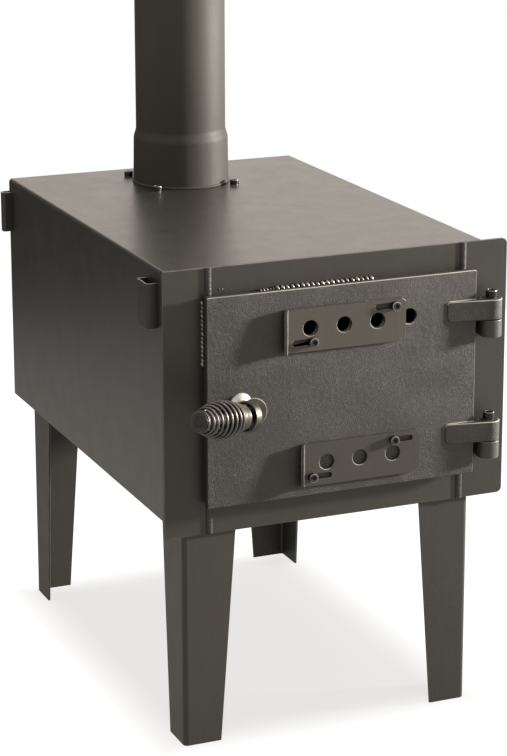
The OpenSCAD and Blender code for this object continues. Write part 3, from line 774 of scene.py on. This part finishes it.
# %% Axis of the grip
LEAN = math.radians(33)
TURN = math.radians(13)
ELBOW_OUT = 56 * MM
elbow = Vector((spindle.x, frame_face - ELBOW_OUT, spindle.z))
grip_way = Vector((-math.cos(LEAN) * math.cos(TURN), -math.sin(LEAN), math.cos(LEAN) * math.sin(TURN)))
grip_side = Vector((-math.sin(LEAN) * math.cos(TURN), math.cos(LEAN), math.sin(LEAN) * math.sin(TURN)))
grip_up = Vector((-math.sin(TURN), 0, -math.cos(TURN)))
print("elbow of the rod at", [round(v, 4) for v in elbow])

# %% [markdown]
# The close turns lie at a fixed pitch. The open turns share what is left, with a little more
# room at first and less towards the cap. Both ends of the wire run straight on, into the cup
# and into the cap, where they are held.

# %% Line of the wire
WIRE = 2.8 * MM
CLOSE_TURNS, OPEN_TURNS, CLOSE_PITCH = 6, 7, 3.4 * MM
INTO_CUP, INTO_CAP = 14.4 * MM, 3.8 * MM
STEPS = 28
wire_from, wire_to = 27.6 * MM, 94.08 * MM
open_pitch = (wire_to - wire_from - CLOSE_TURNS * CLOSE_PITCH) / OPEN_TURNS


def wire_radius(along):
    part = (along - wire_from) / (wire_to - wire_from)
    return (11.4 - 0.5 * part + 6.4 * math.sin(math.pi * part ** 1.25)) * MM


def wire_point(turn):
    close = min(turn, CLOSE_TURNS)
    part = (turn - close) / OPEN_TURNS
    along = wire_from + close * CLOSE_PITCH + (part + 0.4 * part * (1 - part)) * OPEN_TURNS * open_pitch
    angle = 2 * math.pi * turn - math.pi / 2
    radius = wire_radius(along)
    return elbow + along * grip_way + radius * (math.cos(angle) * grip_side + math.sin(angle) * grip_up)


turns = CLOSE_TURNS + OPEN_TURNS
wire_line = [wire_point(i / STEPS) for i in range(turns * STEPS + 1)]
wire_line.insert(0, wire_line[0] - INTO_CUP * grip_way)
wire_line.append(wire_line[-1] + INTO_CAP * grip_way)
print("wire of", len(wire_line), "points")

# %% [markdown]
# A wire is a curve with a thickness: the line becomes a poly curve, is given a round section
# and turned into a mesh. It moves with the latch and takes the place of the CAD spring.

# %% Wound wire
def wire_piece(name, line, thick, finish):
    curve = bpy.data.curves.new(name, "CURVE")
    curve.dimensions = "3D"
    curve.bevel_depth = thick / 2
    curve.bevel_resolution = 4
    curve.use_fill_caps = True
    spline = curve.splines.new("POLY")
    spline.points.add(len(line) - 1)
    for point, place in zip(spline.points, line):
        point.co = (*place, 1)
    piece = bpy.data.objects.new(name, curve)
    bpy.context.scene.collection.objects.link(piece)
    pick(piece)
    bpy.ops.object.convert(target="MESH")
    piece = bpy.context.object
    piece.data.materials.clear()
    piece.data.materials.append(finish)
    bpy.ops.object.shade_smooth_by_angle(angle=math.radians(40))
    return piece


grip_wire = wire_piece("grip_wire", wire_line, WIRE, spring_metal)
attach(grip_wire, "latch")
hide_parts("grip_spring")
print("wire has", len(grip_wire.data.polygons), "faces")

# %% [markdown]
# Between the turns the real grip is black: light hardly gets in, and soot does. So only the
# faces of the wire that look outwards stay bright. The others get a near-black metal for soot
# and painted shade, and so do the rod inside the coil and the inner wall of the cup. The end
# of the rod lies flush in the cap and looks like it, and the disc on the spindle gets a duller
# metal than the rod.

# %% Rod, cup and cap
INSIDE_COIL = 22 * MM
DISC_OUT = 25 * MM
CAP_FACE = 8 * MM


def off_axis(place):
    """The way from the grip's axis to a place."""
    way = place - elbow
    return way - way.dot(grip_way) * grip_way


def outward(place, normal):
    """1 where a face looks straight away from the grip's axis, and -1 where it looks at it."""
    return normal.dot(off_axis(place).normalized())


def in_coil(place):
    return (place - elbow).dot(grip_way) > INSIDE_COIL


repaint(grip_wire, soot_and_shade_metal, lambda place, normal, slot: outward(place, normal) < 0.25)
rod = worked("handle_rod", rod_metal, edge=0.8, edge_finish=screw_rim, rim_share=0.5)
repaint(rod, soot_and_shade_metal, lambda place, normal, slot: in_coil(place))
repaint(rod, cap_metal, lambda place, normal, slot: in_coil(place) and normal.dot(grip_way) > 0.5)
repaint(rod, disc_metal, lambda place, normal, slot: (
    slot == FACE and abs(place.y - spindle.y + DISC_OUT) < 1.5 * MM))
cup = worked("grip_cup", cup_metal, edge=0.3)
repaint(cup, soot_and_shade_metal, lambda place, normal, slot: outward(place, normal) < -0.3)
cap = worked("grip_end_cap", cap_metal, edge=0.25, edge_finish=cup_metal)
repaint(cap, cap_metal, lambda place, normal, slot: off_axis(place).length < CAP_FACE)
print("rod, cup and cap worked")

# %% [markdown]
# ## Camera
#
# The camera stands where the photographer stood: to the left of the stove and above it,
# with a long lens. Its turn is built from three directions: right, up and back. The lens was
# found as a distance in pixels of a picture that is 756 high, and is turned into millimetres
# on a sensor of 36.

# %% Camera
SENSOR = 36
LENS_PIXELS, PICTURE_HEIGHT = 2451.34, 756
YAW, PITCH, ROLL = 0.3997, 0.2526, -0.0015
STANDPOINT = (-0.9993, -2.3445, 1.0696)


def look(yaw, pitch, roll):
    forward = Vector((math.sin(yaw) * math.cos(pitch), math.cos(yaw) * math.cos(pitch), -math.sin(pitch)))
    side = Vector((math.cos(yaw), -math.sin(yaw), 0))
    up = side.cross(forward)
    right = math.cos(roll) * side + math.sin(roll) * up
    top = math.cos(roll) * up - math.sin(roll) * side
    return Matrix((right, top, -forward)).transposed()


lens = bpy.data.cameras.new("camera")
camera = bpy.data.objects.new("camera", lens)
bpy.context.scene.collection.objects.link(camera)
lens.sensor_width = SENSOR
lens.lens = SENSOR * LENS_PIXELS / PICTURE_HEIGHT
lens.shift_y = -0.1
lens.clip_end = 100
camera.matrix_world = Matrix.Translation(STANDPOINT) @ look(YAW, PITCH, ROLL).to_4x4()
bpy.context.scene.camera = camera
print("lens", round(lens.lens, 2), "mm")

# %% [markdown]
# ## Floor
#
# The stove stands on a white table in a white room. The table is so bright that it runs out
# to plain white, and only the patch between the four feet stays a little grey. So the floor
# is a plain matt surface that takes real shadow, and for the camera white is mixed in: two
# thirds under the stove, all of it further out. Polished parts see the table near the stove
# as a soft white too. The main lamp is screened off the table, as if by a card, by leaning
# the table's normal away from it.

# %% Pale floor
PATCH_MIDDLE = (-0.006, 0.063)
PATCH_HALF = (0.165, 0.235)
UNDER_STOVE = 0.62
MIRRORED_SHARE = 0.4


def pale_floor():
    bpy.ops.mesh.primitive_circle_add(vertices=96, radius=1.6, fill_type="NGON", location=(0, 0, 0))
    floor = bpy.context.object
    floor.name = "floor"
    finish = Finish("floor", Specular_IOR_Level=0.0)
    beside = finish.along("X").away_from(PATCH_MIDDLE[0]) - PATCH_HALF[0]
    ahead = finish.along("Y").away_from(PATCH_MIDDLE[1]) - PATCH_HALF[1]
    away = beside.sum_with("MAXIMUM", ahead).within(-0.03, 0.07)
    near = 1.0 - finish.distance_to((0, 0, 0)).within(0.7, 1.7)
    leaning = finish.add("ShaderNodeCombineXYZ", {}, {"X": -0.3, "Y": 0.03, "Z": 1.0})
    turned = finish.add("ShaderNodeVectorMath", {"operation": "NORMALIZE"}, {0: leaning.outputs[0]})
    finish.give(Base_Color=(0.8, 0.8, 0.8), Roughness=0.9, Normal=turned.outputs[0])
    rays = finish.add("ShaderNodeLightPath").outputs
    camera_ray, mirror_ray = [Level(finish, rays[kind]) for kind in ("Is Camera Ray", "Is Glossy Ray")]
    glow = finish.colour(camera_ray, (0.9, 0.835, 0.765), (1.17, 1.152, 1.147))
    white = finish.add("ShaderNodeEmission", {}, {"Color": glow})
    share = camera_ray * (UNDER_STOVE + away * (1 - UNDER_STOVE)) + mirror_ray * near * MIRRORED_SHARE
    mix = finish.add("ShaderNodeMixShader", {}, {0: share, 1: finish.shader.outputs[0], 2: white.outputs[0]})
    finish.tree.links.new(mix.outputs[0], finish.out.inputs["Surface"])
    floor.data.materials.append(finish.material)
    return floor


bpy.ops.object.select_all(action="DESELECT")
floor = pale_floor()
print("floor of", len(floor.data.vertices), "corners")

# %% [markdown]
# ## Light
#
# On the stove in the photograph the lips of the sliders throw long shadows to the left, so
# the main lamp stands far to the right, nearly in the plane of the door, and is not large.
# It grazes the front, lights the right side of the flue pipe strongly and leaves the left
# wall to the weak light of the room. A soft lamp above and one in front fill the shadows.

# %% Lamps
def lamp(name, place, aim, size, watts, colour):
    light = bpy.data.lights.new(name, "AREA")
    light.shape = "RECTANGLE"
    light.size, light.size_y = size
    light.energy = watts
    light.color = colour
    holder = bpy.data.objects.new(name, light)
    bpy.context.scene.collection.objects.link(holder)
    holder.location = place
    holder.rotation_euler = (Vector(aim) - Vector(place)).to_track_quat("-Z", "Y").to_euler()
    print(name, watts, "W")


lamp("key from the right", (2.85, -0.751, 0.94), (-0.05, -0.2, 0.43), (0.2, 0.3), 292, (1.0, 0.94, 0.87))
lamp("fill from the front", (0.6, -3.2, 2.0), (0, 0, 0.4), (2.0, 2.0), 8, (1.0, 0.95, 0.89))
lamp("top", (0.3, 0.3, 3.0), (0, 0, 0.5), (2.0, 2.0), 24, (1.0, 0.96, 0.91))

# %% [markdown]
# The room is plain white where the camera looks at it, and matt surfaces get a weak even
# light from all sides. What the paint mirrors is drawn apart: white walls on the right, pale
# ones on the left, a dark corner far behind on the left, and less light low down. The dark
# corner is what the left wall of the stove mirrors, and why it looks so dark.

# %% The room around
world = bpy.data.worlds.new("white room")
bpy.context.scene.world = world
world.use_nodes = True
tree = world.node_tree
tree.nodes.clear()


def room_node(kind, settings=None, feeds=None):
    node = tree.nodes.new(kind)
    for key, value in (settings or {}).items():
        setattr(node, key, value)
    for key, value in (feeds or {}).items():
        if isinstance(value, bpy.types.NodeSocket):
            tree.links.new(value, node.inputs[key])
        else:
            node.inputs[key].default_value = value
    return node


def slope(value, start, end, low, high):
    """Goes smoothly from low to high while value goes from start to end."""
    feeds = {"Value": value, "From Min": start, "From Max": end, "To Min": low, "To Max": high}
    return room_node("ShaderNodeMapRange", {"interpolation_type": "SMOOTHSTEP"}, feeds).outputs[0]


def light_of(colour, strength):
    return room_node("ShaderNodeBackground", feeds={"Color": (*colour, 1), "Strength": strength}).outputs[0]


way = room_node("ShaderNodeTexCoord").outputs["Generated"]
right, back, up = room_node("ShaderNodeSeparateXYZ", feeds={0: way}).outputs
left_wall = slope(back, 0.4, 0.9, 1.15, 0.1)
turned_right = slope(right, -0.2, 0.36, 0.0, 1.0)
walls = room_node("ShaderNodeMix", {"data_type": "FLOAT"}, {0: turned_right, 2: left_wall, 3: 1.3}).outputs[0]
height = slope(up, -0.3, 0.15, 0.38, 1.12)
mirrored = room_node("ShaderNodeMath", {"operation": "MULTIPLY"}, {0: walls, 1: height}).outputs[0]
print("walls drawn")

# %% [markdown]
# Light Path tells the rays apart: the camera sees white, mirrors and glass see the drawn
# room, and all other rays get the weak even light.

# %% What each ray sees
rays = room_node("ShaderNodeLightPath").outputs
glossy = room_node(
    "ShaderNodeMath", {"operation": "MAXIMUM"}, {0: rays["Is Glossy Ray"], 1: rays["Is Transmission Ray"]})
indirect = room_node("ShaderNodeMixShader", feeds={
    0: glossy.outputs[0], 1: light_of((1, 0.955, 0.9), 0.37), 2: light_of((1, 0.92, 0.84), mirrored)})
seen = room_node("ShaderNodeMixShader", feeds={
    0: rays["Is Camera Ray"], 1: indirect.outputs[0], 2: light_of((1, 1, 1), 1.0)})
room_node("ShaderNodeOutputWorld", feeds={"Surface": seen.outputs[0]})
bpy.context.scene.view_settings.view_transform = "Standard"
print("room ready")
